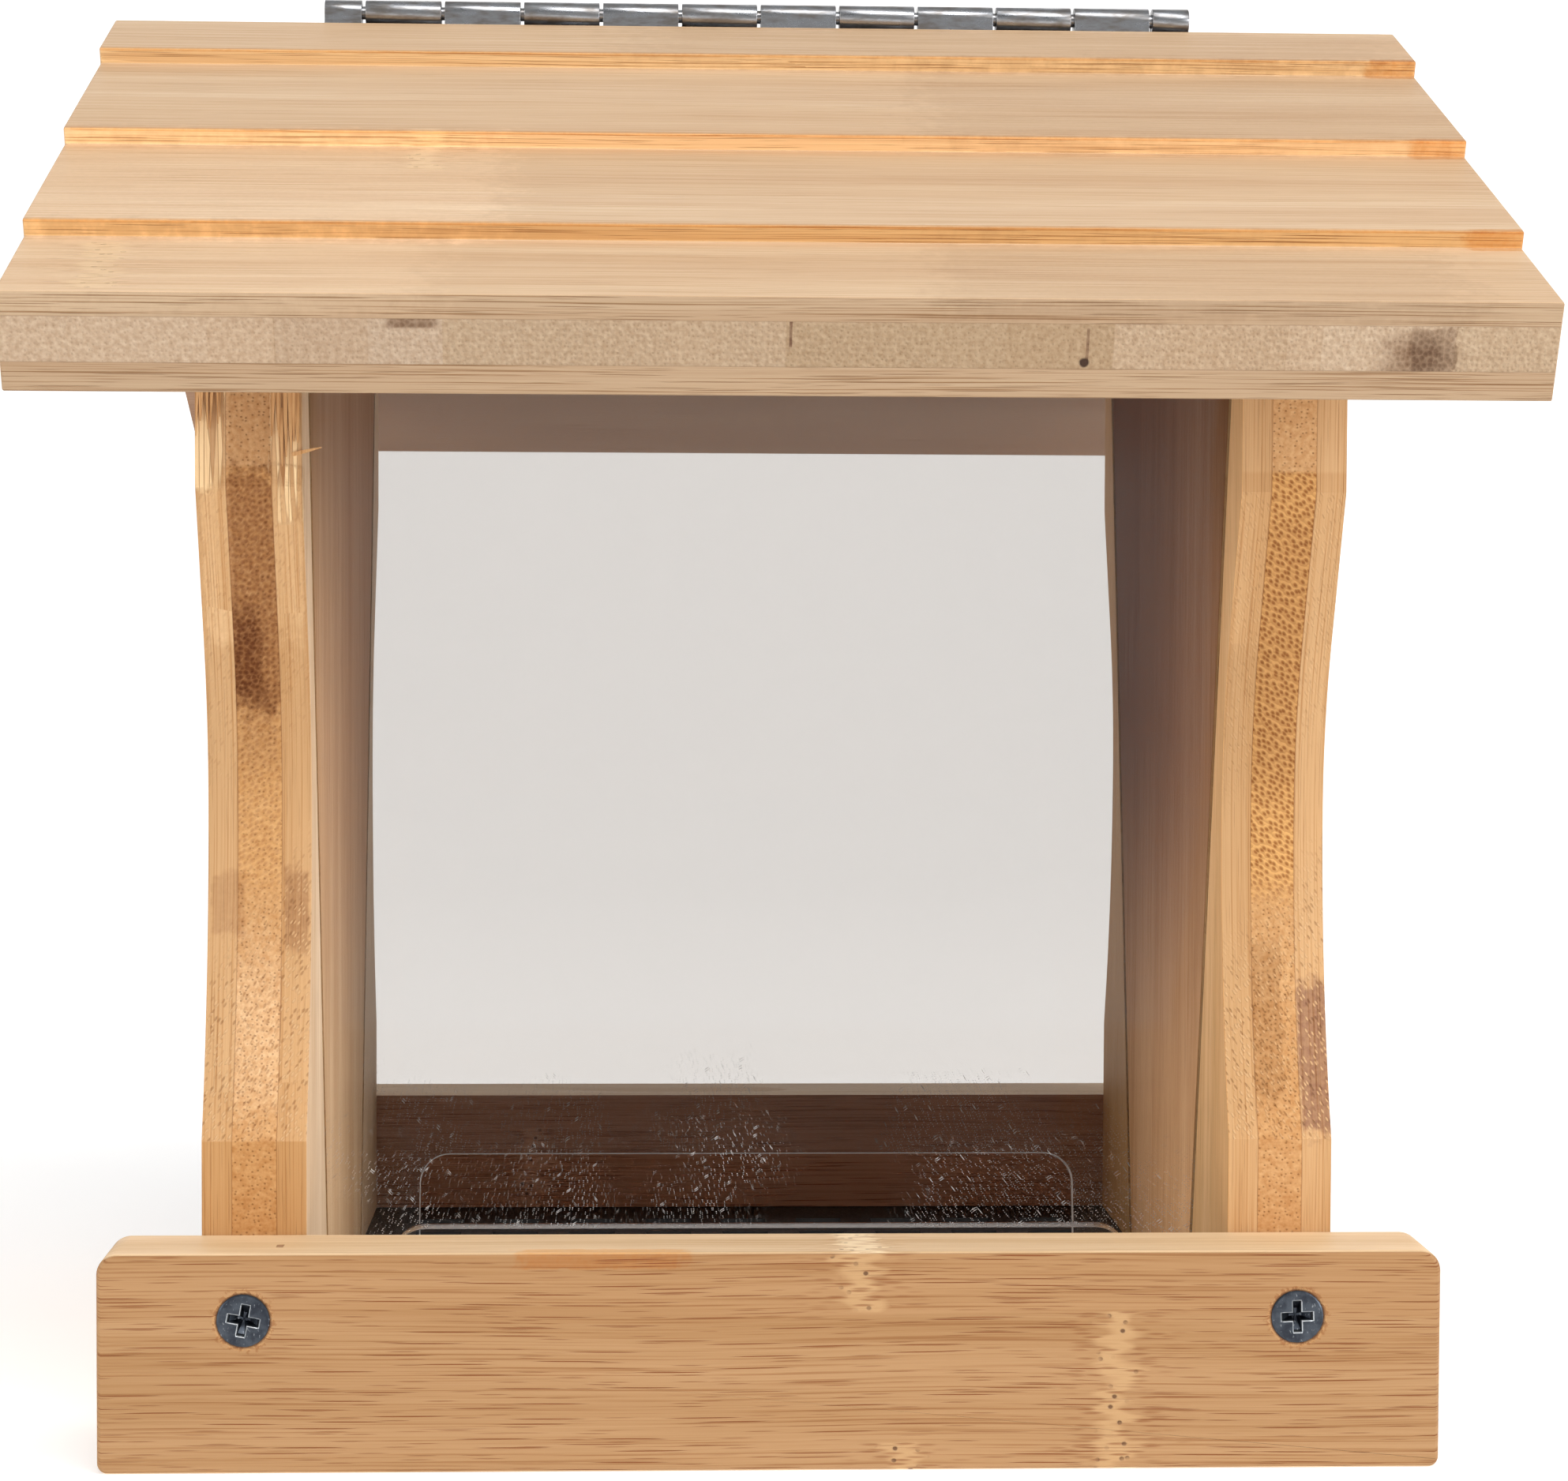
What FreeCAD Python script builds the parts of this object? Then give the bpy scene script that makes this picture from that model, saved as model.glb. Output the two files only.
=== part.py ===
import FreeCAD, Part
import math
import os

# Hopper bird feeder in bamboo ply: two waisted sides, two tray boards, a screen floor,
# two clear windows that form the seed hopper, a fixed rear roof and a hinged front roof.
# Millimetres, +Z up. The origin is under the middle of the roof, on the plane it stands on.
# The front faces -Y, and the ridge runs along X above the origin.

# Bamboo stock, three plies
stock = 15.0

# Side panels
side_spacing = 133.2
side_peak = 199.9
tray_half_depth = 69.5
waist_height = 92.0
waist_cut = 9.3
lower_waist_radius = 126.0
upper_waist_radius = 60.0
flare_angle = 23.9
shoulder_out = 5.5
cable_hole_diameter = 4.0
cable_hole_drop = 14.0

# Tray boards
board_length = 189.0
board_height = 31.0
board_top_corner = 3.0
board_bottom_corner = 1.5

# Floor screen
floor_height = 10.3
screen_thickness = 1.2
screen_let_in = 4.0
screen_hole = 8.0
screen_pitch = 13.5

# Windows
window_thickness = 2.4
window_lean = 12.8
window_let_in = 4.5
trough_width = 37.9
notch_half_width = 56.5
notch_height = 15.9
notch_corner = 5.0

# Roof halves, each with a saw-tooth face of lapped courses
roof_width = 206.0
roof_angle = 25.4
eave_from_ridge = 117.5
course = 39.0
first_butt = 14.5
butt_height = 2.5

# Ridge hinge, cut from continuous strip
hinge_length = 139.4
hinge_stand = 1.9
knuckle_pitch = 12.7
barrel_radius = 2.0
leaf_thickness = 0.9
curl_angle = 290.0

# Flat-head screws
wood_screw_head = 7.5
wood_screw_shank = 3.6
wood_screw_length = 35.0
hinge_screw_head = 5.2
hinge_screw_shank = 2.6
hinge_screw_length = 10.0
tray_screw_height = 21.6
roof_screw_below_butt = 9.0
hinge_screw_spacing = 101.6

# Clearances
snug = 0.05
slide = 0.3
lid_gap = 0.05
window_top_gap = 1.5
knuckle_gap = 0.6
leaf_root_gap = 0.4
leaf_foot_gap = 1.7
saw_cut_gap = 0.1
head_relief = 3.0

# Sizes that follow from the ones above
side_inner = side_spacing / 2
side_outer = side_inner + stock
side_middle = (side_inner + side_outer) / 2
board_outer = tray_half_depth + stock
waist_half_depth = tray_half_depth - waist_cut
shoulder_half_depth = tray_half_depth + shoulder_out
window_foot = tray_half_depth - trough_width
slope = math.radians(roof_angle)
lean = math.radians(window_lean)
flare = math.radians(flare_angle)
tread_rise = butt_height / course

V = FreeCAD.Vector
ALONG_X = V(1, 0, 0)
ALONG_Y = V(0, 1, 0)
ALONG_Z = V(0, 0, 1)


def flip_x(shape):
    """The shape on the other side of the plane x = 0."""
    return shape.mirror(V(0, 0, 0), ALONG_X)


def flip_y(shape):
    """The shape on the other side of the plane y = 0."""
    return shape.mirror(V(0, 0, 0), ALONG_Y)


def lines(points):
    """Straight edges through a row of points."""
    return [Part.makeLine(a, b) for a, b in zip(points, points[1:])]


def filled(edges):
    """A flat face inside a closed outline."""
    return Part.Face(Part.Wire(Part.__sortEdges__(edges)))


def profile_along_x(edges, start, length):
    """A solid from a closed outline in the plane x = 0, carried along X."""
    face = filled(edges)
    face.translate(V(start, 0, 0))
    return face.extrude(V(length, 0, 0))


def at(shape, place, outward):
    """A shape drawn along Z, set at a place with its top facing outward."""
    moved = shape.copy()
    moved.Placement = FreeCAD.Placement(place, FreeCAD.Rotation(ALONG_Z, outward))
    return moved


# Roof plane. Places on a roof half are given as distance down its underside from the ridge,
# and height above that underside. The rear half lies on +Y.
def roof_point(down, up, rise=0.0):
    y = down * math.cos(slope) + up * math.sin(slope)
    z = side_peak + rise / math.cos(slope) - down * math.sin(slope) + up * math.cos(slope)
    return V(0, y, z)


def tread_height(down):
    """Height of the stepped face above the underside."""
    laps = (down - first_butt) / course
    return stock - butt_height * (1 - (laps - math.floor(laps)))


def side_under_roof(y):
    return side_peak - y * math.tan(slope)


# The ridge faces are upright and stand off the middle by the barrel's radius,
# so that the hinge leaves fit between the two halves.
first_tread = stock - tread_rise * first_butt
ridge_low = barrel_radius / math.cos(slope)
ridge_high = barrel_radius - first_tread * math.sin(slope)
ridge_high = ridge_high / (math.cos(slope) + tread_rise * math.sin(slope))
ridge_tread = first_tread + tread_rise * ridge_high
ridge_arris = roof_point(ridge_high, ridge_tread)
hinge_height = ridge_arris.z + hinge_stand
leaf_root = hinge_height - barrel_radius - leaf_root_gap
leaf_foot = side_peak + leaf_foot_gap


# Screws. They pass through countersunk holes and bite into plain wood behind.
def flat_head_screw(head, shank, length, grow=0.0, above=0.0):
    """A wood screw with the flat of its head at z = 0 and its point down."""
    head_radius = head / 2 + grow
    shank_radius = shank / 2 + grow
    points = [
        V(0, 0, above),
        V(head_radius, 0, above),
        V(head_radius, 0, 0),
        V(shank_radius, 0, shank_radius - head_radius),
        V(shank_radius, 0, -length),
        V(0, 0, -length),
        V(0, 0, above),
    ]
    if above == 0:
        points.pop(2)
    return Part.Face(Part.makePolygon(points)).revolve(V(0, 0, 0), ALONG_Z, 360)


wood_screw = flat_head_screw(wood_screw_head, wood_screw_shank, wood_screw_length)
wood_hole = flat_head_screw(wood_screw_head, wood_screw_shank, wood_screw_length, snug, head_relief)
hinge_screw = flat_head_screw(hinge_screw_head, hinge_screw_shank, hinge_screw_length)
hinge_hole = flat_head_screw(hinge_screw_head, hinge_screw_shank, hinge_screw_length, snug, head_relief)

tray_places = [V(x, board_outer, tray_screw_height) for x in (-side_middle, side_middle)]
roof_rows = [first_butt + n * course + roof_screw_below_butt for n in (0, 1)]
roof_seats = [roof_point(down, tread_height(down)) for down in roof_rows]
tread_turn = slope - math.atan(tread_rise)
tread_normal = V(0, math.sin(tread_turn), math.cos(tread_turn))
left_roof_places = [V(-side_middle, seat.y, seat.z) for seat in roof_seats]
right_roof_places = [V(side_middle, seat.y, seat.z) for seat in roof_seats]
hinge_places = [
    V(x, barrel_radius - leaf_thickness, (leaf_root + leaf_foot) / 2)
    for x in (-hinge_screw_spacing / 2, hinge_screw_spacing / 2)
]
tray_holes = [at(wood_hole, place, ALONG_Y) for place in tray_places]
roof_holes = [at(wood_hole, place, tread_normal) for place in left_roof_places + right_roof_places]
hinge_holes = [at(hinge_hole, place, -ALONG_Y) for place in hinge_places]


# Side panels. The waist is two arcs that share an upright tangent: the upper one runs off into
# a straight line up to the shoulder, the lower one spreads down to the tray board.
def side_edge():
    """The rear edge of a side, from the foot up to the roof line."""
    upper = V(0, waist_half_depth + upper_waist_radius, waist_height)
    lower = V(0, waist_half_depth + lower_waist_radius, waist_height)
    spread = math.acos(1 - waist_cut / lower_waist_radius)

    def on_upper(turn):
        return upper + V(0, -math.cos(turn), math.sin(turn)) * upper_waist_radius

    def on_lower(turn):
        return lower + V(0, -math.cos(turn), -math.sin(turn)) * lower_waist_radius

    run_off = on_upper(flare)
    climb = (shoulder_half_depth - run_off.y) / math.tan(flare)
    shoulder = V(0, shoulder_half_depth, run_off.z + climb)
    foot = V(0, tray_half_depth, 0)
    top = V(0, shoulder_half_depth, side_under_roof(shoulder_half_depth))
    peak = V(0, 0, side_peak)
    return [
        Part.makeLine(foot, on_lower(spread)),
        Part.Arc(on_lower(spread), on_lower(spread / 2), on_lower(0)).toShape(),
        Part.Arc(on_upper(0), on_upper(flare / 2), on_upper(flare)).toShape(),
    ] + lines([run_off, shoulder, top, peak])


def window_point(along, out):
    """A place by the rear window: distance up the sheet, and out from its middle."""
    y = window_foot + along * math.sin(lean) + out * math.cos(lean)
    z = floor_height + along * math.cos(lean) - out * math.sin(lean)
    return V(0, y, z)


def side_panel():
    """The right-hand side panel."""
    rear = side_edge()
    front = [flip_y(edge) for edge in rear]
    base = Part.makeLine(V(0, -tray_half_depth, 0), V(0, tray_half_depth, 0))
    panel = profile_along_x(rear + front + [base], side_inner, stock)

    half = window_thickness / 2 + slide
    below = window_thickness
    corners = [window_point(along, out)
               for along, out in ((-below, half), (side_peak, half), (side_peak, -half), (-below, -half))]
    groove = profile_along_x(lines(corners + corners[:1]), side_inner, window_let_in + slide)
    above_floor = Part.makeBox(stock, board_outer, side_peak, V(side_inner, 0, floor_height))
    groove = groove.common(above_floor)
    saw_cut = Part.makeBox(screen_let_in + slide, 2 * board_outer, screen_thickness + saw_cut_gap,
                           V(side_inner, -board_outer, floor_height - screen_thickness))
    cable_hole = Part.makeCylinder(cable_hole_diameter / 2, stock,
                                   V(side_inner, 0, side_peak - cable_hole_drop), ALONG_X)
    return panel.cut([groove, flip_y(groove), saw_cut, cable_hole])


right_side = side_panel()
left_side = flip_x(right_side)


# Tray boards, drawn at the rear
def corner_arc(x, z, radius, upward):
    """A quarter round at the right-hand end of a board, given the sharp corner."""
    middle = radius * (1 - math.sqrt(0.5))
    return Part.Arc(V(x - radius, tray_half_depth, z),
                    V(x - middle, tray_half_depth, z + upward * middle),
                    V(x, tray_half_depth, z + upward * radius)).toShape()


def tray_board():
    half = board_length / 2
    right = [corner_arc(half, 0, board_bottom_corner, 1), corner_arc(half, board_height, board_top_corner, -1)]
    right += lines([V(half, tray_half_depth, board_bottom_corner),
                    V(half, tray_half_depth, board_height - board_top_corner)])
    left = [flip_x(edge) for edge in right]
    level = []
    for z, corner in ((0, board_bottom_corner), (board_height, board_top_corner)):
        level += lines([V(corner - half, tray_half_depth, z), V(half - corner, tray_half_depth, z)])
    board = filled(right + left + level).extrude(V(0, stock, 0))
    half_cut = side_inner + screen_let_in + slide
    saw_cut = Part.makeBox(2 * half_cut, screen_let_in + slide, screen_thickness + saw_cut_gap,
                           V(-half_cut, tray_half_depth, floor_height - screen_thickness))
    return board.cut([saw_cut] + tray_holes)


rear_board = tray_board()
front_board = flip_y(rear_board)


# Floor screen, a sheet with rows of square holes over the open floor
def rectangle(x, y, length_x, length_y):
    corners = [V(x + sx * length_x / 2, y + sy * length_y / 2, floor_height - screen_thickness)
               for sx, sy in ((-1, -1), (1, -1), (1, 1), (-1, 1))]
    return Part.makePolygon(corners + corners[:1])


def floor_screen():
    columns = int((side_spacing - screen_hole) / screen_pitch)
    rows = int((2 * tray_half_depth - screen_hole) / screen_pitch)
    outline = rectangle(0, 0, side_spacing + 2 * screen_let_in, 2 * (tray_half_depth + screen_let_in))
    holes = [
        rectangle((i - (columns - 1) / 2) * screen_pitch, (j - (rows - 1) / 2) * screen_pitch,
                  screen_hole, screen_hole)
        for i in range(columns)
        for j in range(rows)
    ]
    sheet = Part.makeFace(Part.makeCompound([outline] + holes), "Part::FaceMakerBullseye")
    return sheet.extrude(V(0, 0, screen_thickness))


# Windows, drawn upright with the foot at z = 0 and then leaned out at the top
def window():
    """The rear window, with the notch that lets seed out at its foot."""
    half = side_inner + window_let_in
    foot = window_thickness / 2 * math.tan(lean) + snug
    room = side_under_roof(window_foot) - floor_height - window_top_gap / math.cos(slope)
    room -= window_thickness / 2 * (math.cos(lean) * math.tan(slope) - math.sin(lean))
    top = room / (math.cos(lean) + math.sin(lean) * math.tan(slope))
    inner = notch_half_width - notch_corner
    spring = notch_height - notch_corner
    turn = notch_corner * math.sqrt(0.5)
    right = [Part.Arc(V(inner, 0, notch_height), V(inner + turn, 0, spring + turn),
                      V(notch_half_width, 0, spring)).toShape()]
    right += lines([V(notch_half_width, 0, spring), V(notch_half_width, 0, foot),
                    V(half, 0, foot), V(half, 0, top)])
    left = [flip_x(edge) for edge in right]
    level = lines([V(-inner, 0, notch_height), V(inner, 0, notch_height)])
    level += lines([V(-half, 0, top), V(half, 0, top)])
    sheet = filled(right + left + level).extrude(V(0, window_thickness, 0))
    sheet.translate(V(0, -window_thickness / 2, 0))
    sheet.rotate(V(0, 0, 0), ALONG_X, -window_lean)
    sheet.translate(V(0, window_foot, floor_height))
    return sheet


rear_window = window()
front_window = flip_y(rear_window)


# Roof halves, drawn at the rear
def roof_half(rise):
    outline = [(ridge_low, 0.0), (ridge_high, ridge_tread)]
    butt = first_butt
    while butt < eave_from_ridge:
        outline += [(butt, stock), (butt, stock - butt_height)]
        butt += course
    outline += [(eave_from_ridge, tread_height(eave_from_ridge)), (eave_from_ridge, 0.0), (ridge_low, 0.0)]
    points = [roof_point(down, up, rise) for down, up in outline]
    return profile_along_x(lines(points), -roof_width / 2, roof_width)


rear_roof = roof_half(0.0).cut(roof_holes)
front_roof = flip_y(roof_half(lid_gap))


# Ridge hinge, drawn for the fixed rear leaf: a comb-shaped plate against the ridge face,
# with each tooth rolled round the pin
def knuckle_spans():
    """Ends of the knuckles along X, with part knuckles where the strip was cut."""
    half = hinge_length / 2
    whole = 2 * int((half - knuckle_gap) / knuckle_pitch)
    joints = [(n - whole / 2) * knuckle_pitch for n in range(whole + 1)]
    lows = [-half] + [x + knuckle_gap / 2 for x in joints]
    highs = [x - knuckle_gap / 2 for x in joints] + [half]
    return list(zip(lows, highs))


def on_barrel(radius, degrees):
    turn = math.radians(degrees)
    return V(0, radius * math.cos(turn), hinge_height + radius * math.sin(turn))


def knuckle(low, high):
    """The rolled end of one tooth."""
    inner = barrel_radius - leaf_thickness
    outside = Part.Arc(on_barrel(barrel_radius, 0), on_barrel(barrel_radius, curl_angle / 2),
                       on_barrel(barrel_radius, curl_angle)).toShape()
    inside = Part.Arc(on_barrel(inner, curl_angle), on_barrel(inner, curl_angle / 2),
                      on_barrel(inner, 0)).toShape()
    closing = [Part.makeLine(on_barrel(barrel_radius, curl_angle), on_barrel(inner, curl_angle)),
               Part.makeLine(on_barrel(inner, 0), on_barrel(barrel_radius, 0))]
    return profile_along_x([outside, inside] + closing, low, high - low)


def hinge_leaf(spans):
    half = hinge_length / 2
    inner = barrel_radius - leaf_thickness
    plate = Part.makeBox(hinge_length, leaf_thickness, leaf_root - leaf_foot, V(-half, inner, leaf_foot))
    teeth = [Part.makeBox(high - low, leaf_thickness, hinge_height - leaf_root, V(low, inner, leaf_root))
             for low, high in spans]
    rolled = [knuckle(low, high) for low, high in spans]
    return plate.fuse(teeth + rolled).removeSplitter().cut(hinge_holes)


spans = knuckle_spans()
fixed_leaf = hinge_leaf(spans[1::2])
lid_leaf = flip_y(hinge_leaf(spans[0::2]))
pin = Part.makeCylinder(barrel_radius - leaf_thickness - snug, hinge_length,
                        V(-hinge_length / 2, 0, hinge_height), ALONG_X)

# Screws in place
tray_screws = [at(wood_screw, place, ALONG_Y) for place in tray_places]
hinge_screws = Part.makeCompound([at(hinge_screw, place, -ALONG_Y) for place in hinge_places])

nodes = {
    "left_side_panel": left_side,
    "right_side_panel": right_side,
    "front_tray_board": front_board,
    "rear_tray_board": rear_board,
    "floor_screen": floor_screen(),
    "front_window": front_window,
    "rear_window": rear_window,
    "front_roof_panel": front_roof,
    "rear_roof_panel": rear_roof,
    "lid_hinge_leaf": lid_leaf,
    "fixed_hinge_leaf": fixed_leaf,
    "hinge_pin": pin,
    "front_tray_screw_left": flip_y(tray_screws[0]),
    "front_tray_screw_right": flip_y(tray_screws[1]),
    "rear_tray_screw_left": tray_screws[0],
    "rear_tray_screw_right": tray_screws[1],
    "left_roof_screws": Part.makeCompound([at(wood_screw, p, tread_normal) for p in left_roof_places]),
    "right_roof_screws": Part.makeCompound([at(wood_screw, p, tread_normal) for p in right_roof_places]),
    "lid_hinge_screws": flip_y(hinge_screws),
    "fixed_hinge_screws": hinge_screws,
}

os.makedirs("parts", exist_ok=True)
for name, shape in nodes.items():
    shape.exportStep("parts/" + name + ".step")
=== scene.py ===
import math
import random

import bmesh
import bpy
from mathutils import Matrix, Vector


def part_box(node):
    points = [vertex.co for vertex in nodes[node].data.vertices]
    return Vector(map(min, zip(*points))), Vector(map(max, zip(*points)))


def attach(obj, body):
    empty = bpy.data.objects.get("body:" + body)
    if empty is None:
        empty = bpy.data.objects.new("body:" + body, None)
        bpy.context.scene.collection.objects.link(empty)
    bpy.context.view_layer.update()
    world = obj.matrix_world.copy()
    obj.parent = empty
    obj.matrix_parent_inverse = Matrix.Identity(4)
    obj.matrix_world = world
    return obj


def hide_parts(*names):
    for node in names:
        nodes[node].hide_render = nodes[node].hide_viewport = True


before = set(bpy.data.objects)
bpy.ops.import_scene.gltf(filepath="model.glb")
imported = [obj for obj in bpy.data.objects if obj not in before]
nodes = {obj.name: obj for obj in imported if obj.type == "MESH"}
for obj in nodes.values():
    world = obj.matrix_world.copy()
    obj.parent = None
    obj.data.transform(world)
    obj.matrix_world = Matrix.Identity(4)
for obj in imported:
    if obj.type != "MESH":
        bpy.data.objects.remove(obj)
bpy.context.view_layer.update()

# Looks of a hopper bird feeder: bamboo ply, clear acrylic windows, a plated ridge hinge, a black screen floor
# and zinc screws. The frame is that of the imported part, in metres, and its front faces -Y. Sizes that are
# given in millimetres say so.
MM = 0.001
X = Vector((1, 0, 0))
Y = Vector((0, 1, 0))
Z = Vector((0, 0, 1))
chance = random.Random(7)

# Places that the frame gives
side_low, side_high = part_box("right_side_panel")
window_low, window_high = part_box("rear_window")
side_inner = side_low.x
board_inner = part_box("rear_tray_board")[0].y
ridge = Vector((0, 0, side_high.z))

# The same in millimetres: the board's thickness, the roof's back, the splintered edge, and the line of a window
stock = (side_high.x - side_low.x) / MM
roof_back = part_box("rear_roof_panel")[1].y / MM
left_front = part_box("left_side_panel")[0].y / MM
window_rate = (window_high.y - window_low.y) / (window_high.z - window_low.z)
window_foot = (window_low.y - window_rate * window_low.z) / MM

# The ply in millimetres: a core between two face plies, each laid from strips, and how high the sides' foot is
core_ply = 6.4
strip_width = 21.0
foot_height = 44.5

# The roof's slope and its lapped courses, in millimetres down the slope from the ridge
roof_slope = math.radians(25.4)
course = 39.0
first_butt = 14.5
butt_height = 2.5
tread_slope = roof_slope - math.atan(butt_height / course)
butts = [first_butt + n * course for n in range(3)]
eave = (roof_back - math.sin(roof_slope) * stock) / math.cos(roof_slope)

# Screws in millimetres: radius of the head, radius of the thread, length
wood_screw = (3.75, 1.8, 35.0)
leaf_screw = (2.6, 1.3, 10.0)


def srgb(red, green, blue):
    """A linear colour from the 0 to 255 numbers of a screen colour."""
    shares = [c / 255 for c in (red, green, blue)]
    return (*(s / 12.92 if s <= 0.04045 else ((s + 0.055) / 1.055) ** 2.4 for s in shares), 1.0)


class Nodes:
    """A material's or a world's node tree. A value given to it is a number, a colour or a node's output."""

    def __init__(self, owner, shader="Principled BSDF"):
        owner.use_nodes = True
        self.tree = owner.node_tree
        self.shader = self.tree.nodes[shader]
        self.material = owner

    def give(self, socket, value):
        if isinstance(value, bpy.types.NodeSocket):
            self.tree.links.new(value, socket)
        else:
            socket.default_value = value

    def add(self, kind, inputs, **settings):
        node = self.tree.nodes.new("ShaderNode" + kind)
        for key, value in settings.items():
            setattr(node, key, value)
        for key, value in inputs.items():
            self.give(node.inputs[key], value)
        return node

    def put(self, kind, inputs, output=0, **settings):
        return self.add(kind, inputs, **settings).outputs[output]

    def shade(self, **values):
        """Gives values to the shader's own sockets, whose spaces are written as underscores."""
        for key, value in values.items():
            self.give(self.shader.inputs[key.replace("_", " ")], value)

    def sum(self, a, b):
        return self.put("Math", {0: a, 1: b}, operation="ADD")

    def less(self, a, b):
        return self.put("Math", {0: a, 1: b}, operation="SUBTRACT")

    def rest(self, share):
        """What a share leaves of 1."""
        return self.less(1.0, share)

    def times(self, product, *factors):
        for factor in factors:
            product = self.put("Math", {0: product, 1: factor}, operation="MULTIPLY")
        return product

    def most(self, a, b):
        return self.put("Math", {0: a, 1: b}, operation="MAXIMUM")

    def size(self, a):
        return self.put("Math", {0: a}, operation="ABSOLUTE")

    def floor(self, a):
        return self.put("Math", {0: a}, operation="FLOOR")

    def step(self, value, low, high, start=0.0, end=1.0):
        """Runs smoothly from start to end as value goes from low to high."""
        inputs = {0: value, 1: low, 2: high, 3: start, 4: end}
        return self.put("MapRange", inputs, interpolation_type="SMOOTHSTEP")

    def fall(self, value, low, high):
        return self.step(value, low, high, 1.0, 0.0)

    def band(self, value, middle, half, soft):
        """1 within half of middle, falling to 0 over soft."""
        return self.fall(self.size(self.less(value, middle)), half, half + soft)

    def between(self, value, low, high, soft):
        """1 from low to high, with each end softened inward."""
        return self.times(self.step(value, low, low + soft), self.fall(value, high - soft, high))

    def pick(self, share, a, b):
        return self.put("Mix", {0: share, 2: a, 3: b}, 0, data_type="FLOAT")

    def mix(self, share, a, b):
        return self.put("Mix", {0: share, 6: a, 7: b}, 2, data_type="RGBA")

    def tint(self, share, a, b):
        return self.put("Mix", {0: share, 6: a, 7: b}, 2, data_type="RGBA", blend_type="MULTIPLY")

    def join(self, x, y, z=0.0):
        return self.put("CombineXYZ", {0: x, 1: y, 2: z})

    def scaled(self, at, x, y, z):
        return self.put("VectorMath", {0: at, 1: (x, y, z)}, operation="MULTIPLY")

    def dot(self, at, way):
        return self.put("VectorMath", {0: at, 1: way}, "Value", operation="DOT_PRODUCT")

    def apart(self, a, b):
        return self.put("VectorMath", {0: a, 1: b}, operation="SUBTRACT")

    def length(self, at):
        return self.put("VectorMath", {0: at}, "Value", operation="LENGTH")

    def place(self):
        """The point in the frame, in millimetres."""
        return self.scaled(self.put("TexCoord", {}, "Object"), 1 / MM, 1 / MM, 1 / MM)

    def normal(self):
        return self.put("TexCoord", {}, "Normal")

    def noise(self, at, scale=1.0, detail=2.0, roughness=0.5, **settings):
        inputs = {"Vector": at, "Scale": scale, "Detail": detail, "Roughness": roughness}
        return self.put("TexNoise", inputs, **settings)

    def flat_noise(self, at, x, y, detail=2.0, roughness=0.5):
        return self.noise(self.scaled(at, x, y, 0), 1.0, detail, roughness, noise_dimensions="2D")

    def voronoi(self, at, scatter=1.0, **settings):
        inputs = {"Vector": at, "Scale": 1.0, "Randomness": scatter}
        return self.add("TexVoronoi", inputs, voronoi_dimensions="2D", **settings).outputs

    def cells(self, at, x, y, scatter=1.0):
        """Distance to the nearest of a plane's scattered points, and a number that is each point's own."""
        found = self.voronoi(self.scaled(at, x, y, 0), scatter)
        return found["Distance"], found["Color"]

    def scales(self, at, x, y, scatter):
        """Runs from about -0.5 to 0.5 from the low to the high end of each of a plane's scattered scales."""
        spot = self.scaled(at, x, y, 0)
        return self.dot(self.apart(spot, self.voronoi(spot, scatter)["Position"]), X)

    def shards(self, at, x, y):
        """Distance to the border of a plane's shards, and a number that is each shard's own."""
        spot = self.scaled(at, x, y, 0)
        border = self.voronoi(spot, feature="DISTANCE_TO_EDGE")["Distance"]
        return border, self.voronoi(spot)["Color"]

    def chance(self, at):
        """A number from 0 to 1 that goes with at."""
        return self.put("TexWhiteNoise", {"W": at}, "Value", noise_dimensions="1D")

    def bump(self, height, distance, strength):
        return self.put("Bump", {"Height": height, "Distance": distance, "Strength": strength})


class Lay:
    """How a panel's ply lies: a point of its inner face, and the ways of its face grain, width and thickness."""

    def __init__(self, base, along, across, out, core=core_ply):
        self.base = base / MM
        self.along = along
        self.across = across
        self.out = out
        self.core = core


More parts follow.
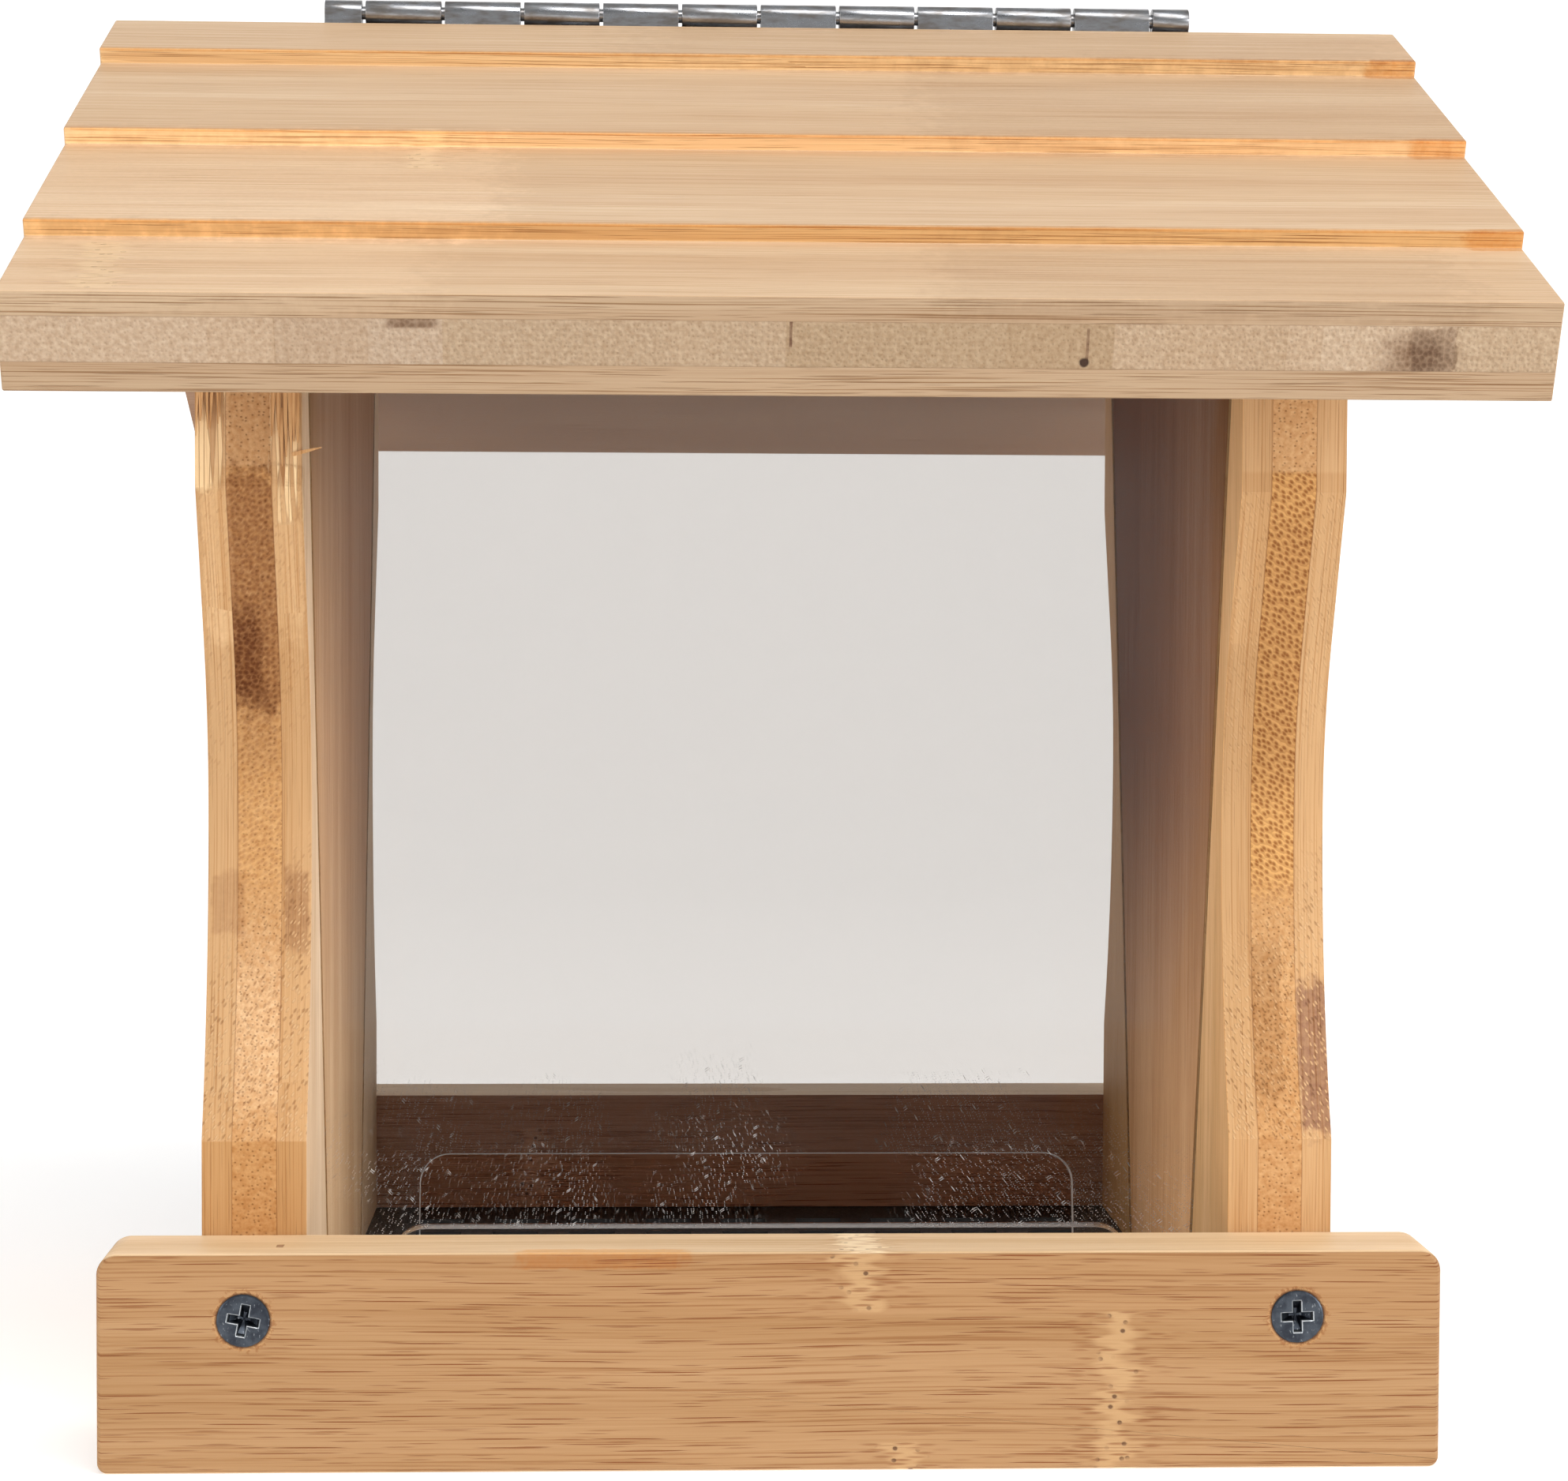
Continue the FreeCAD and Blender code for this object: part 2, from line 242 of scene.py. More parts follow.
class Ply(Nodes):
    """A bamboo panel's node tree. It knows where a point is in the lay, in millimetres, and which grain shows
    there, and it keeps the colour and the height that the functions below work on."""

    def __init__(self, name, lay, look):
        super().__init__(bpy.data.materials.new(name))
        self.look = look
        self.core = lay.core
        off = self.apart(self.place(), lay.base)
        self.along, self.across, self.through = (self.dot(off, way) for way in (lay.along, lay.across, lay.out))
        self.at = self.join(self.along, self.across, self.through)
        self.facing = self.dot(self.normal(), lay.along)
        end_on = self.size(self.facing)
        edge_on = self.size(self.dot(self.normal(), lay.across))
        self.inside = self.band(self.through, stock / 2, lay.core / 2 - 0.03, 0.06) if lay.core else 0.0

        # The core's grain crosses that of the faces, so where one shows its length the other shows its end
        self.grain = self.pick(self.inside, self.along, self.across)
        self.width = self.pick(self.inside, self.across, self.along)
        self.end = self.step(self.pick(self.inside, end_on, edge_on), 0.55, 0.85)
        self.long = self.rest(self.end)
        self.edge = self.step(edge_on, 0.55, 0.85)
        self.slant = self.sum(self.times(self.width, self.rest(self.edge)), self.times(self.through, 1.3))

        # What several functions share: a rough noise, the fray of borders, and flecks that stand out
        self.rough = self.noise(self.at, 1.2, 2.0, 0.6)
        self.fray = self.times(self.less(self.noise(self.at, 0.4, 3.0, 0.6), 0.5), 0.7)
        self.raised = 0.0

    def paint(self, share, colour):
        """Covers the colour so far with another."""
        self.colour = self.mix(share, self.colour, colour)

    def dye(self, share, tint):
        """Multiplies the colour so far by a tint."""
        self.colour = self.tint(share, self.colour, tint)

    def lift(self, height):
        self.height = self.sum(self.height, height)

    def sink(self, depth):
        self.height = self.less(self.height, depth)

    def patch(self, middle, half, soft=0.25):
        """A block with a frayed border, from its middle and half sizes along, across and through."""
        share = 1.0
        for value, centre, reach in zip((self.along, self.across, self.through), middle, half):
            far_out = self.sum(self.times(self.size(self.less(value, centre)), 1 / reach), self.fray)
            share = self.times(share, self.fall(far_out, 1.1 - soft, 1.1))
        return share


def draw_grain(g, seed):
    """Strips with luck of their own, fibres along their grain and pores where they end."""
    look = g.look
    wander = g.flat_noise(g.join(g.grain, g.slant), 1 / 95, 1 / 30, 1.0)
    strip = g.sum(g.width, g.times(wander, g.pick(g.inside, 4.0, 0.4)))
    strip = g.floor(g.sum(g.times(strip, 1 / strip_width), g.pick(g.inside, seed, seed + 40.4)))
    luck = g.chance(strip)
    own = g.join(g.sum(g.grain, g.times(luck, 400.0)), g.sum(g.slant, g.times(wander, 1.6)))
    broad = g.flat_noise(own, 1 / 150, 1 / 7)
    g.fine = g.flat_noise(own, 1 / 55, 2.8, 3.0, 0.65)

    # Long grain: dashes of dark fibre among fine lines
    far, far_luck = g.cells(own, 1 / 36, 1 / 0.55)
    near, near_luck = g.cells(own, 1 / 13, 1 / 0.45)
    dash = g.times(g.fall(far, 0.1, 0.17), g.step(far_luck, 0.4, 0.55))
    tick = g.times(g.fall(near, 0.08, 0.24), g.step(near_luck, 0.4, 0.7))
    marks = g.times(g.most(dash, g.times(tick, look["ticks"])), g.long)
    lines = g.times(g.step(g.fine, 0.54, 0.7), g.long)

    # End grain: pores in rows
    g.cell, cell_luck = g.cells(g.join(g.width, g.through), 1 / 0.7, 1 / 0.8, 0.8)
    pores = g.times(g.fall(g.cell, 0.1, 0.26), g.step(cell_luck, 0.2, 0.6), g.end)
    grit = g.times(g.step(g.noise(g.at, 0.05, 1.0), 0.35, 0.65, 0.3, 1.0), look["grit"])

    tone = g.sum(g.times(broad, look["broad"]), g.times(g.fine, 1 - look["broad"]))
    tone = g.pick(g.end, g.step(tone, 0.28, 0.72), g.step(g.rough, 0.1, 0.9))
    face = g.mix(tone, look["light"], look["dark"])
    g.colour = g.mix(g.inside, face, g.mix(tone, look["core_light"], look["core_dark"]))
    g.dye(g.times(luck, g.pick(g.inside, look["strips"], look["core_strips"])), look["strip_tint"])
    g.dye(g.times(lines, g.pick(g.edge, look["lines"], look["edge_lines"])), look["line_tint"])
    g.paint(g.times(marks, g.pick(g.edge, look["dashes"], look["edge_dashes"])), look["streak"])
    g.paint(g.times(pores, look["pores"]), look["pore"])
    end_height = g.sum(g.times(g.less(g.rough, pores), 0.6), g.times(g.cell, grit))
    g.height = g.pick(g.end, g.less(g.times(g.fine, 0.5), marks), end_height)


def wear(g, low, high, depth):
    """The core of an edge worn to scales from low to high along, with painted light and shade on each scale, and
    its curves broken out in flecks.
    """
    look = g.look
    weathered = g.times(g.step(g.along, low - 9.0, low), g.fall(g.along, high, high + 0.8))
    weathered = g.times(weathered, g.inside, g.end, depth)
    leaning = g.join(g.sum(g.width, g.times(g.through, 0.5)), g.through)
    # Painted light and shade on each scale: dark in its hollow and at its low end, pale at its high end, as if
    # lit from above
    dimple = g.cells(leaning, 1 / 0.85, 1 / 0.95, 0.7)[0]
    tip = g.step(g.scales(leaning, 1 / 0.85, 1 / 0.95, 0.7), -0.4, 0.35)
    scale = g.sum(g.times(g.step(dimple, 0.12, 0.46), 0.65), g.times(tip, 0.35))
    g.paint(weathered, g.mix(scale, look["scale_shade"], look["scale"]))
    g.height = g.pick(weathered, g.height, g.times(scale, 2.2))

    # A curve is cut across the fibres, which break out in slanting flecks, mostly where it faces up. Raised
    # flecks are painted pale and sunken ones dark, a painted highlight and shade on top of their bump.
    curved = g.most(g.step(g.facing, 0.05, 0.2), g.step(g.facing, -0.2, -0.05, 0.35, 0.0))
    curved = g.times(curved, g.edge, g.rest(weathered))
    slanted = g.join(g.less(g.times(g.along, 0.85), g.times(g.through, 0.53)),
                     g.sum(g.times(g.along, 0.53), g.times(g.through, 0.85)))
    fleck, fleck_luck = g.cells(slanted, 1 / 1.25, 1 / 0.5)
    broken = g.times(g.fall(fleck, 0.15, 0.4), curved)
    g.raised = g.times(broken, g.step(fleck_luck, 0.5, 0.6))
    lost = g.times(broken, g.fall(fleck_luck, 0.25, 0.4))
    g.paint(g.times(g.raised, g.pick(g.inside, 0.5, 0.3)), look["fleck"])
    g.paint(g.times(lost, 0.4), look["streak"])
    g.lift(g.times(g.less(g.raised, lost), 2.4))
    g.dye(g.times(g.edge, g.step(g.along, high, high + 0.8)), look["sawn"])


def draw_glue(g):
    """Thin dark lines between the plies."""
    glue = g.band(g.size(g.less(g.through, stock / 2)), g.core / 2, 0.03, 0.1)
    g.dye(g.times(glue, g.look["glue"]), g.look["streak"])


def draw_knuckles(g, knuckles):
    """Rings of the cane: (along, low across, high across) of each, with ticks and pits about it."""
    look = g.look
    spot = g.join(g.along, g.slant)
    shake = g.times(g.less(g.flat_noise(spot, 1 / 9, 1 / 2.2), 0.5), 9.0)
    short, short_luck = g.cells(spot, 1 / 5.0, 1 / 0.6)
    pit, pit_luck = g.cells(spot, 1 / 2.6, 1 / 2.2)
    speck = g.times(g.fall(short, 0.1, 0.4), g.step(short_luck, 0.2, 0.6))
    hole = g.times(g.fall(pit, 0.08, 0.17), g.step(pit_luck, 0.2, 0.4))
    for place, low, high in knuckles:
        span = g.times(g.between(g.across, low - 0.2, high + 0.2, 0.4), g.rest(g.inside), g.long)
        reach = g.sum(g.less(g.along, place), shake)
        ring = g.times(g.band(reach, 0.0, 1.0, 2.5), span)
        ticks = g.times(speck, g.band(reach, 0.0, 2.0, 9.0), span)
        pits = g.times(hole, ring)
        g.paint(g.times(ring, 0.6), look["knuckle"])
        g.paint(g.times(ticks, look["knuckle_ticks"]), look["streak"])
        g.paint(g.times(pits, look["knuckle_pits"]), look["pit"])
        g.sink(g.sum(g.times(ticks, 0.8), g.times(pits, 3.0)))


def tint_edges(g, cuts, blocks, foot):
    """Cuts are (low, high, tint) across of the edges that face that way, which on the boards is a painted sheen,
    blocks are (low, high, tint) along of the strips that their core is laid from, and foot is a painted shade
    below the foot's height."""
    for low, high, tint in cuts:
        g.dye(g.times(g.edge, g.between(g.across, low, high, 0.6)), tint)
    for low, high, tint in blocks:
        g.dye(g.times(g.edge, g.inside, g.between(g.along, low, high, 0.1)), tint)
    if foot:
        g.dye(g.times(g.edge, g.fall(g.along, foot_height - 0.2, foot_height)), foot)


def tint_inner_face(g, shade, under):
    """Painted light and shade: shade has the tints low and high between the windows, darker high up and towards
    the back, and clear of them; under is one tint for the whole face, painted shade under the roof.
    """
    inner_face = g.fall(g.through, 0.02, 0.15)
    if shade:
        low, high, clear = shade
        line = g.sum(g.times(g.along, window_rate), window_foot)
        hopper = g.fall(g.less(g.size(g.across), line), -0.6, 0.2)
        # Painted shade between the windows: darker towards the top, under the roof, and towards the back
        dim = g.times(g.step(g.along, 25.0, 105.0), g.step(g.across, -60.0, 30.0, 0.75, 1.0))
        g.dye(inner_face, g.mix(hopper, clear, g.mix(dim, low, high)))
    if under:
        g.dye(inner_face, under)


def draw_tinted_patches(g, tinted_patches, core_stains):
    """Tinted patches are (middle, half sizes, strength, tint): stains, and on the treads painted light and
    shade; those of the core are stains with a softness too.
    """
    speckle = g.step(g.pick(g.end, g.rough, g.cell), 0.3, 0.65, 1.0, 0.75)
    speckle = g.times(speckle, g.rest(g.times(g.raised, 0.8)))
    for middle, half, strength, patch_tint in tinted_patches:
        g.dye(g.times(g.patch(middle, half), speckle, strength), patch_tint)
    for middle, half, strength, patch_tint, soft in core_stains:
        g.dye(g.times(g.patch(middle, half, soft), speckle, g.inside, strength), patch_tint)


def draw_tears(g, tears):
    """Torn wood, (middle, half sizes): pale and sunken shards with dark cracks between them. The pale is partly
    a painted highlight, and the dark of the cracks and sunken shards is a painted shade.
    """
    shard, shard_luck = g.shards(g.join(g.along, g.slant), 1 / 15.0, 1 / 0.8)
    for middle, half in tears:
        torn = g.patch(middle, half)
        crack = g.times(torn, g.fall(shard, 0.02, 0.12), g.step(shard_luck, 0.3, 0.7))
        pale = g.times(torn, g.step(shard_luck, 0.45, 0.6))
        sunk = g.times(torn, g.fall(shard_luck, 0.25, 0.35))
        g.paint(g.times(pale, 0.75), g.look["fresh"])
        g.paint(g.times(g.most(crack, g.times(sunk, 0.6)), 0.7), g.look["torn"])
        g.lift(g.times(g.less(g.times(torn, shard_luck), crack), 8.0))


def draw_knots(g, knots):
    """Holes in an edge, (along, through, radius)."""
    for place, depth, radius in knots:
        reach = g.length(g.join(g.less(g.along, place), g.less(g.through, depth)))
        knot = g.times(g.fall(g.sum(reach, g.fray), radius * 0.6, radius), g.edge)
        g.paint(knot, g.look["pit"])
        g.sink(g.times(knot, 8.0))


def draw_rims(g, rims):
    """Torn wood round the heads of screws, (along, across), and a painted shadow in the gap round each head."""
    rim = wood_screw[0] + 0.05
    for place, side in rims:
        reach = g.length(g.join(g.less(g.along, place), g.less(g.across, side)))
        torn = g.fall(g.sum(reach, g.times(g.less(g.rough, 0.5), 3.6)), rim, rim + 0.8)
        patchy = g.mix(g.step(g.rough, 0.42, 0.58), g.look["torn"], g.look["fresh"])
        g.paint(g.times(torn, 0.6), patchy)
        g.lift(g.times(torn, g.less(g.rough, 0.1)))
        # Painted shadow in the gap round the head
        g.paint(g.step(reach, rim, rim + 0.3, 0.75, 0.0), g.look["pit"])


def bamboo(name, lay, look, seed, knuckles=(), tinted_patches=(), core_stains=(), tears=(), knots=(), rims=(),
           cuts=(), blocks=(), worn=None, foot=None, shade=None, under=None):
    """Bamboo with its marks, which are in the lay's millimetres and as the functions above describe them."""
    g = Ply(name, lay, look)
    draw_grain(g, seed)
    if worn:
        wear(g, *worn)
    if lay.core:
        draw_glue(g)
    draw_knuckles(g, knuckles)
    tint_edges(g, cuts, blocks, foot)
    tint_inner_face(g, shade, under)
    draw_tinted_patches(g, tinted_patches, core_stains)
    draw_tears(g, tears)
    draw_knots(g, knots)
    draw_rims(g, rims)
    gloss = look["gloss"]
    g.shade(Base_Color=g.colour, Normal=g.bump(g.height, 0.15 * MM, 0.5), Specular_IOR_Level=look["shine"])
    g.shade(Roughness=g.step(g.sum(g.fine, g.times(g.inside, 0.4)), 0.2, 1.0, gloss, gloss + 0.25))
    return g.material


# Colours and strengths of the grain: the roof's, and what differs on the sides and on the tray boards
roof_look = {
    "light": srgb(213, 184, 150), "dark": srgb(197, 162, 126), "streak": srgb(140, 98, 60),
    "core_light": srgb(216, 189, 157), "core_dark": srgb(182, 150, 116),
    "knuckle": srgb(212, 180, 140), "pit": srgb(60, 38, 24), "pore": srgb(150, 118, 84),
    "strip_tint": srgb(240, 229, 214), "line_tint": srgb(206, 188, 166),
    "dashes": 0.15, "edge_dashes": 0.7, "ticks": 0.5, "lines": 0.22, "edge_lines": 1.0,
    "pores": 0.2, "grit": 3.0, "strips": 0.5, "core_strips": 0.5, "broad": 0.5, "glue": 0.15,
    "gloss": 0.42, "shine": 0.3, "knuckle_ticks": 0.25, "knuckle_pits": 0.15,
}
side_look = dict(
    roof_look, light=srgb(229, 194, 152), dark=srgb(210, 170, 124), streak=srgb(136, 84, 44),
    core_light=srgb(238, 201, 155), core_dark=srgb(206, 158, 108), line_tint=srgb(214, 182, 148),
    pore=srgb(112, 68, 34), fresh=srgb(255, 222, 172), torn=srgb(150, 98, 56),
    scale_shade=srgb(150, 86, 36), scale=srgb(244, 198, 134), fleck=srgb(243, 210, 170), sawn=(1.08, 1.13, 1.2, 1.0),
    dashes=0.4, edge_dashes=0.2, ticks=0.6, lines=0.3, edge_lines=0.4,
    pores=0.48, grit=1.6, core_strips=0.6, glue=0.3, gloss=0.5, shine=0.05)
board_look = dict(
    roof_look, light=srgb(177, 138, 97), dark=srgb(160, 119, 76), streak=srgb(126, 70, 30),
    knuckle=srgb(196, 158, 112), pit=srgb(86, 52, 30), line_tint=srgb(204, 168, 130),
    pore=srgb(112, 68, 34), fresh=srgb(226, 172, 108), torn=srgb(140, 88, 46),
    dashes=0.95, edge_dashes=0.2, ticks=0.6, lines=0.5, edge_lines=0.3,
    pores=0.6, grit=2.0, gloss=0.46, knuckle_ticks=0.6, knuckle_pits=0.85)
sliver_look = dict(side_look, light=srgb(222, 178, 128), dark=srgb(190, 140, 90))

# Tints of stains, dark and fair
burnt = (0.44, 0.33, 0.3, 1.0)
dusky = srgb(160, 122, 110)
smoke = (0.5, 0.42, 0.5, 1.0)
# Tea stains; on the treads the same tint is also a painted shade
tea_stain_and_shade = srgb(150, 122, 96)
orange = (1.0, 0.8, 0.58, 1.0)
# Painted shadow along the top of each riser, also used to darken the risers' right ends
riser_dark_tint = (0.9, 0.7, 0.48, 1.0)
# A painted light: paler patches on the left of the treads
tread_painted_light = (1.15, 1.17, 1.2, 1.0)
blond = (1.26, 1.46, 1.85, 1.0)
straw = (1.2, 1.28, 1.38, 1.0)

# Tints of edges and of inner faces; some are painted shade, sheen or light, as said below
edge_tint = (0.76, 0.67, 0.57, 1.0)
# Painted shade: the sides' edges darker below the foot's height, where they stand upright and catch less light
# from above
foot_painted_shade = (0.9, 0.85, 0.76, 1.0)
riser_tints = ((1.23, 1.15, 0.92, 1.0), (1.46, 1.36, 1.13, 1.0), (1.1, 0.93, 0.63, 1.0))
eave_tint = (0.71, 0.71, 0.71, 1.0)
# Painted sheen: the boards' top and bottom faces paler and greyer than their wood
board_top_painted_sheen = (2.05, 2.75, 3.9, 1.0)
# Painted light and shade on the sides' inner faces: tints low and high between the windows, and clear of them
left_shade = ((0.95, 0.98, 1.05, 1.0), (0.88, 0.76, 0.7, 1.0), (1.13, 1.25, 1.5, 1.0))
right_shade = ((1.15, 1.05, 1.0, 1.0), (0.31, 0.16, 0.09, 1.0), (1.15, 1.05, 0.9, 1.0))
# Painted shade under the roof
roof_shade = (0.66, 0.57, 0.56, 1.0)
# A brighter, bluer tint for the whole inner face of the rear board
rear_inner_tint = (1.15, 1.05, 1.45, 1.0)

# Marks of the roof: tinted risers and eave, painted shadow lines at the butts and darker right ends of the
# risers, and painted light and shade on the treads
roof_cuts = [(butt - course / 2 + 0.5, butt + course / 2 - 0.5, tint) for butt, tint in zip(butts, riser_tints)]
roof_cuts.append((eave - 4.0, eave + 20.0, eave_tint))
eave_blocks = [
    (-104.0, -67.0, (1.16, 1.2, 1.3, 1.0)), (-67.0, -45.0, (1.07, 1.1, 1.19, 1.0)),
    (0.0, 43.5, (0.91, 0.89, 0.84, 1.0)), (43.5, 66.5, (1.08, 1.1, 1.14, 1.0)),
    (66.5, 89.0, (1.14, 1.18, 1.26, 1.0)), (89.0, 104.0, (1.06, 1.08, 1.1, 1.0))]
# Painted shadow lines along the top of each riser, and darker patches at the risers' right ends
riser_lines_and_ends = [((0.0, butt, stock - 0.1), (120.0, 0.7, 0.3), 0.8, riser_dark_tint) for butt in butts]
riser_lines_and_ends += [((102.0, butt, stock - 1.2), (7.0, 1.2, 2.4), 1.0, riser_dark_tint) for butt in butts]
# Painted light and shade on the treads: paler on the left, faintly darker on the right
tread_light_and_shade = [
    ((40.0, 6.0, stock), (62.0, 9.0, 4.0), 0.13, tea_stain_and_shade), ((66.0, 34.0, stock), (44.0, 20.0, 4.0), 0.15, tea_stain_and_shade),
    ((56.0, 106.0, stock), (36.0, 13.0, 4.0), 0.15, tea_stain_and_shade), ((-74.0, 73.0, stock), (36.0, 20.0, 4.0), 1.0, tread_painted_light),
    ((-78.0, 106.0, stock), (32.0, 13.0, 4.0), 0.7, tread_painted_light)]
eave_stains = [
    ((84.0, 117.5, 6.2), (6.6, 9.0, 4.6), 0.85, tea_stain_and_shade, 1.0),
    ((86.2, 117.5, 6.4), (3.0, 9.0, 4.0), 0.5, tea_stain_and_shade, 0.15),
    ((40.0, 117.5, 7.5), (0.2, 3.0, 2.6), 0.8, burnt, 0.3),
    ((0.7, 117.5, 9.0), (0.2, 3.0, 2.0), 1.0, burnt, 0.3),
    ((-49.0, 117.5, 10.2), (3.8, 3.0, 0.9), 0.8, tea_stain_and_shade, 0.5)]

# Marks of the sides' front edges: stains, torn wood and the stretch where the core is worn
side_cuts = [(-200.0, 200.0, edge_tint)]
worn_low, worn_high = 84.0, 140.5
left_stains = [
    ((77.0, -68.0, 2.2), (6.0, 30.0, 1.8), 0.45, dusky), ((78.0, -68.0, 12.0), (4.5, 30.0, 2.4), 0.28, dusky),
    ((138.0, -72.0, 12.3), (22.0, 30.0, 2.1), 1.0, straw), ((138.0, -72.0, 2.4), (22.0, 30.0, 2.0), 0.8, straw)]
left_core_stains = [
    ((123.0, -68.0, 7.5), (17.0, 30.0, 9.0), 0.85, burnt, 0.2),
    ((60.0, -68.0, 7.5), (15.0, 30.0, 9.0), 1.0, blond, 0.8),
    ((148.0, -72.0, 7.5), (8.0, 30.0, 9.0), 0.3, burnt, 0.2),
    ((103.0, -68.0, 7.5), (8.0, 30.0, 5.0), 0.35, burnt, 0.9),
    ((114.0, -68.0, 9.0), (9.0, 30.0, 3.0), 0.9, burnt, 0.7)]
left_tears = [
    ((147.0, -76.0, 1.9), (9.0, 2.6, 2.6)), ((148.0, -76.0, 13.2), (10.0, 2.6, 2.4)),
    ((137.0, -74.0, 2.0), (4.0, 2.6, 2.2))]
right_core_stains = [
    ((116.0, -68.0, 7.5), (25.0, 30.0, 9.0), 0.38, burnt, 0.5),
    ((61.0, -68.0, 6.0), (11.0, 30.0, 2.6), 0.3, tea_stain_and_shade, 0.2)]

# Marks of the tray boards, and a painted sheen on their top and bottom faces
board_sheen_cuts = [(-20.0, 60.0, board_top_painted_sheen)]
board_stains = [
    ((-24.0, 30.0, 15.0), (12.0, 1.3, 3.0), 1.0, orange), ((-69.5, 31.0, 9.0), (0.5, 1.0, 1.0), 1.0, burnt)]


def screw_places(*names):
    """Along and across of the tray screws in a board."""
    boxes = [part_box(name) for name in names]
    return [((low.x + high.x) / 2 / MM, (low.z + high.z) / 2 / MM) for low, high in boxes]


def coat(material, *names):
    """Gives nodes of the part a material."""
    for name in names:
        nodes[name].data.materials.clear()
        nodes[name].data.materials.append(material)


slope_down = Vector((0, math.cos(roof_slope), -math.sin(roof_slope)))
slope_up = Vector((0, math.sin(roof_slope), math.cos(roof_slope)))
to_front = Vector((1, -1, 1))
left_lay = Lay(-X * side_inner, Z, Y, -X)
coat(bamboo(
    "bamboo_front_roof", Lay(ridge, X, slope_down * to_front, slope_up * to_front), roof_look, 0.2,
    knuckles=[(-91.0, 95.0, 116.0), (-50.0, 52.0, 66.0)], knots=[(39.7, 5.2, 0.75)],
    tinted_patches=riser_lines_and_ends + tread_light_and_shade, core_stains=eave_stains,
    under=roof_shade, cuts=roof_cuts, blocks=eave_blocks), "front_roof_panel")
coat(bamboo(
    "bamboo_rear_roof", Lay(ridge, X, slope_down, slope_up), roof_look, 0.7,
    knuckles=[(34.0, 20.0, 41.0), (-66.0, 62.0, 83.0)], under=roof_shade, cuts=roof_cuts), "rear_roof_panel")
coat(bamboo(
    "bamboo_left_side", left_lay, side_look, 0.1,
    tinted_patches=left_stains, core_stains=left_core_stains, tears=left_tears, cuts=side_cuts,
    worn=(worn_low, worn_high, 0.35), foot=foot_painted_shade, shade=left_shade), "left_side_panel")
coat(bamboo(
    "bamboo_right_side", Lay(X * side_inner, Z, Y, X), side_look, 0.55,
    tinted_patches=[((56.0, -67.0, 13.0), (11.0, 5.5, 2.2), 1.0, smoke)], core_stains=right_core_stains, cuts=side_cuts,
    worn=(worn_low, worn_high, 0.9), shade=right_shade), "right_side_panel")
coat(bamboo(
    "bamboo_front_board", Lay(-Y * board_inner, X, Z, -Y, 0), board_look, 0.9,
    knuckles=[(48.5, -1.0, 22.5), (12.0, 22.5, 32.0), (18.5, -1.0, 4.0)], tinted_patches=board_stains, cuts=board_sheen_cuts,
    rims=screw_places("front_tray_screw_left", "front_tray_screw_right")), "front_tray_board")
coat(bamboo(
    "bamboo_rear_board", Lay(Y * board_inner, X, Z, Y, 0), board_look, 0.4,
    knuckles=[(-38.0, 4.0, 25.0)], under=rear_inner_tint, cuts=board_sheen_cuts,
    rims=screw_places("rear_tray_screw_left", "rear_tray_screw_right")), "rear_tray_board")


# Clear acrylic: fine dust and scratches low down, a pale veil on the rear sheet that is a painted reflection,
# and edges that are sawn and dull, grey on the front sheet as a painted shade
def acrylic():
    g = Nodes(bpy.data.materials.new("scratched_acrylic"))
    at = g.place()
    height = g.dot(at, Z)
    upright = g.join(g.dot(at, X), height)
    low = g.step(height, 36.0, 48.0, 1.0, 0.1)
    cloud = g.step(g.flat_noise(upright, 0.04, 0.06), 0.29, 0.66, 0.12, 0.95)
    mote, mote_luck = g.cells(upright, 1.6, 1.6)
    dust = g.times(g.fall(mote, 0.05, 0.18), g.step(mote_luck, 0.25, 0.7, 0.0, 0.9))
    for lean in (0.6, -0.9):
        turned = g.join(g.dot(at, X * math.cos(lean) + Z * math.sin(lean)),
                        g.dot(at, Z * math.cos(lean) - X * math.sin(lean)))
        scratch, scratch_luck = g.cells(turned, 0.16, 1.0)
        dust = g.most(dust, g.times(g.fall(scratch, 0.03, 0.1), g.step(scratch_luck, 0.62, 0.85)))
    rear = g.step(g.dot(at, Y), -5.0, 5.0)
    # Painted reflection: a pale veil on the upper part of the rear sheet
    painted_veil = g.step(height, 33.0, 40.0, 0.05, 0.17)
    dust_and_painted_veil = g.most(g.times(dust, cloud, low), g.times(rear, painted_veil))
    rim = g.fall(g.size(g.dot(g.normal(), Y)), 0.6, 0.85)
    white = g.most(dust_and_painted_veil, g.times(rim, g.sum(g.times(rear, 0.7), 0.3)))
    colour = g.mix(white, srgb(235, 233, 231), srgb(236, 235, 234))
    # Painted shade: the front sheet's edges grey, which dims the light they pass
    g.shade(Base_Color=g.mix(g.times(rim, g.rest(rear)), colour, srgb(104, 108, 112)))
    g.shade(Transmission_Weight=g.step(white, 0.0, 1.0, 1.0, 0.15), IOR=1.2)
    g.shade(Roughness=g.step(rim, 0.0, 1.0, 0.02, 0.45))
    return g.material


# Plated steel of the hinge, with faint rolling marks and smudges
def plated_steel():
    g = Nodes(bpy.data.materials.new("plated_steel"))
    at = g.place()
    smudge = g.noise(g.scaled(at, 0.25, 0.8, 0.8), 1.0, 3.0, 0.6)
    draw = g.noise(g.scaled(at, 0.06, 9.0, 9.0), 1.0, 2.0)
    g.shade(Base_Color=g.mix(g.step(smudge, 0.3, 0.75), srgb(170, 172, 176), srgb(124, 118, 113)))
    g.shade(Roughness=g.step(smudge, 0.2, 0.8, 0.23, 0.42), Metallic=1.0)
    g.shade(Normal=g.bump(draw, 0.02 * MM, 0.4))
    return g.material


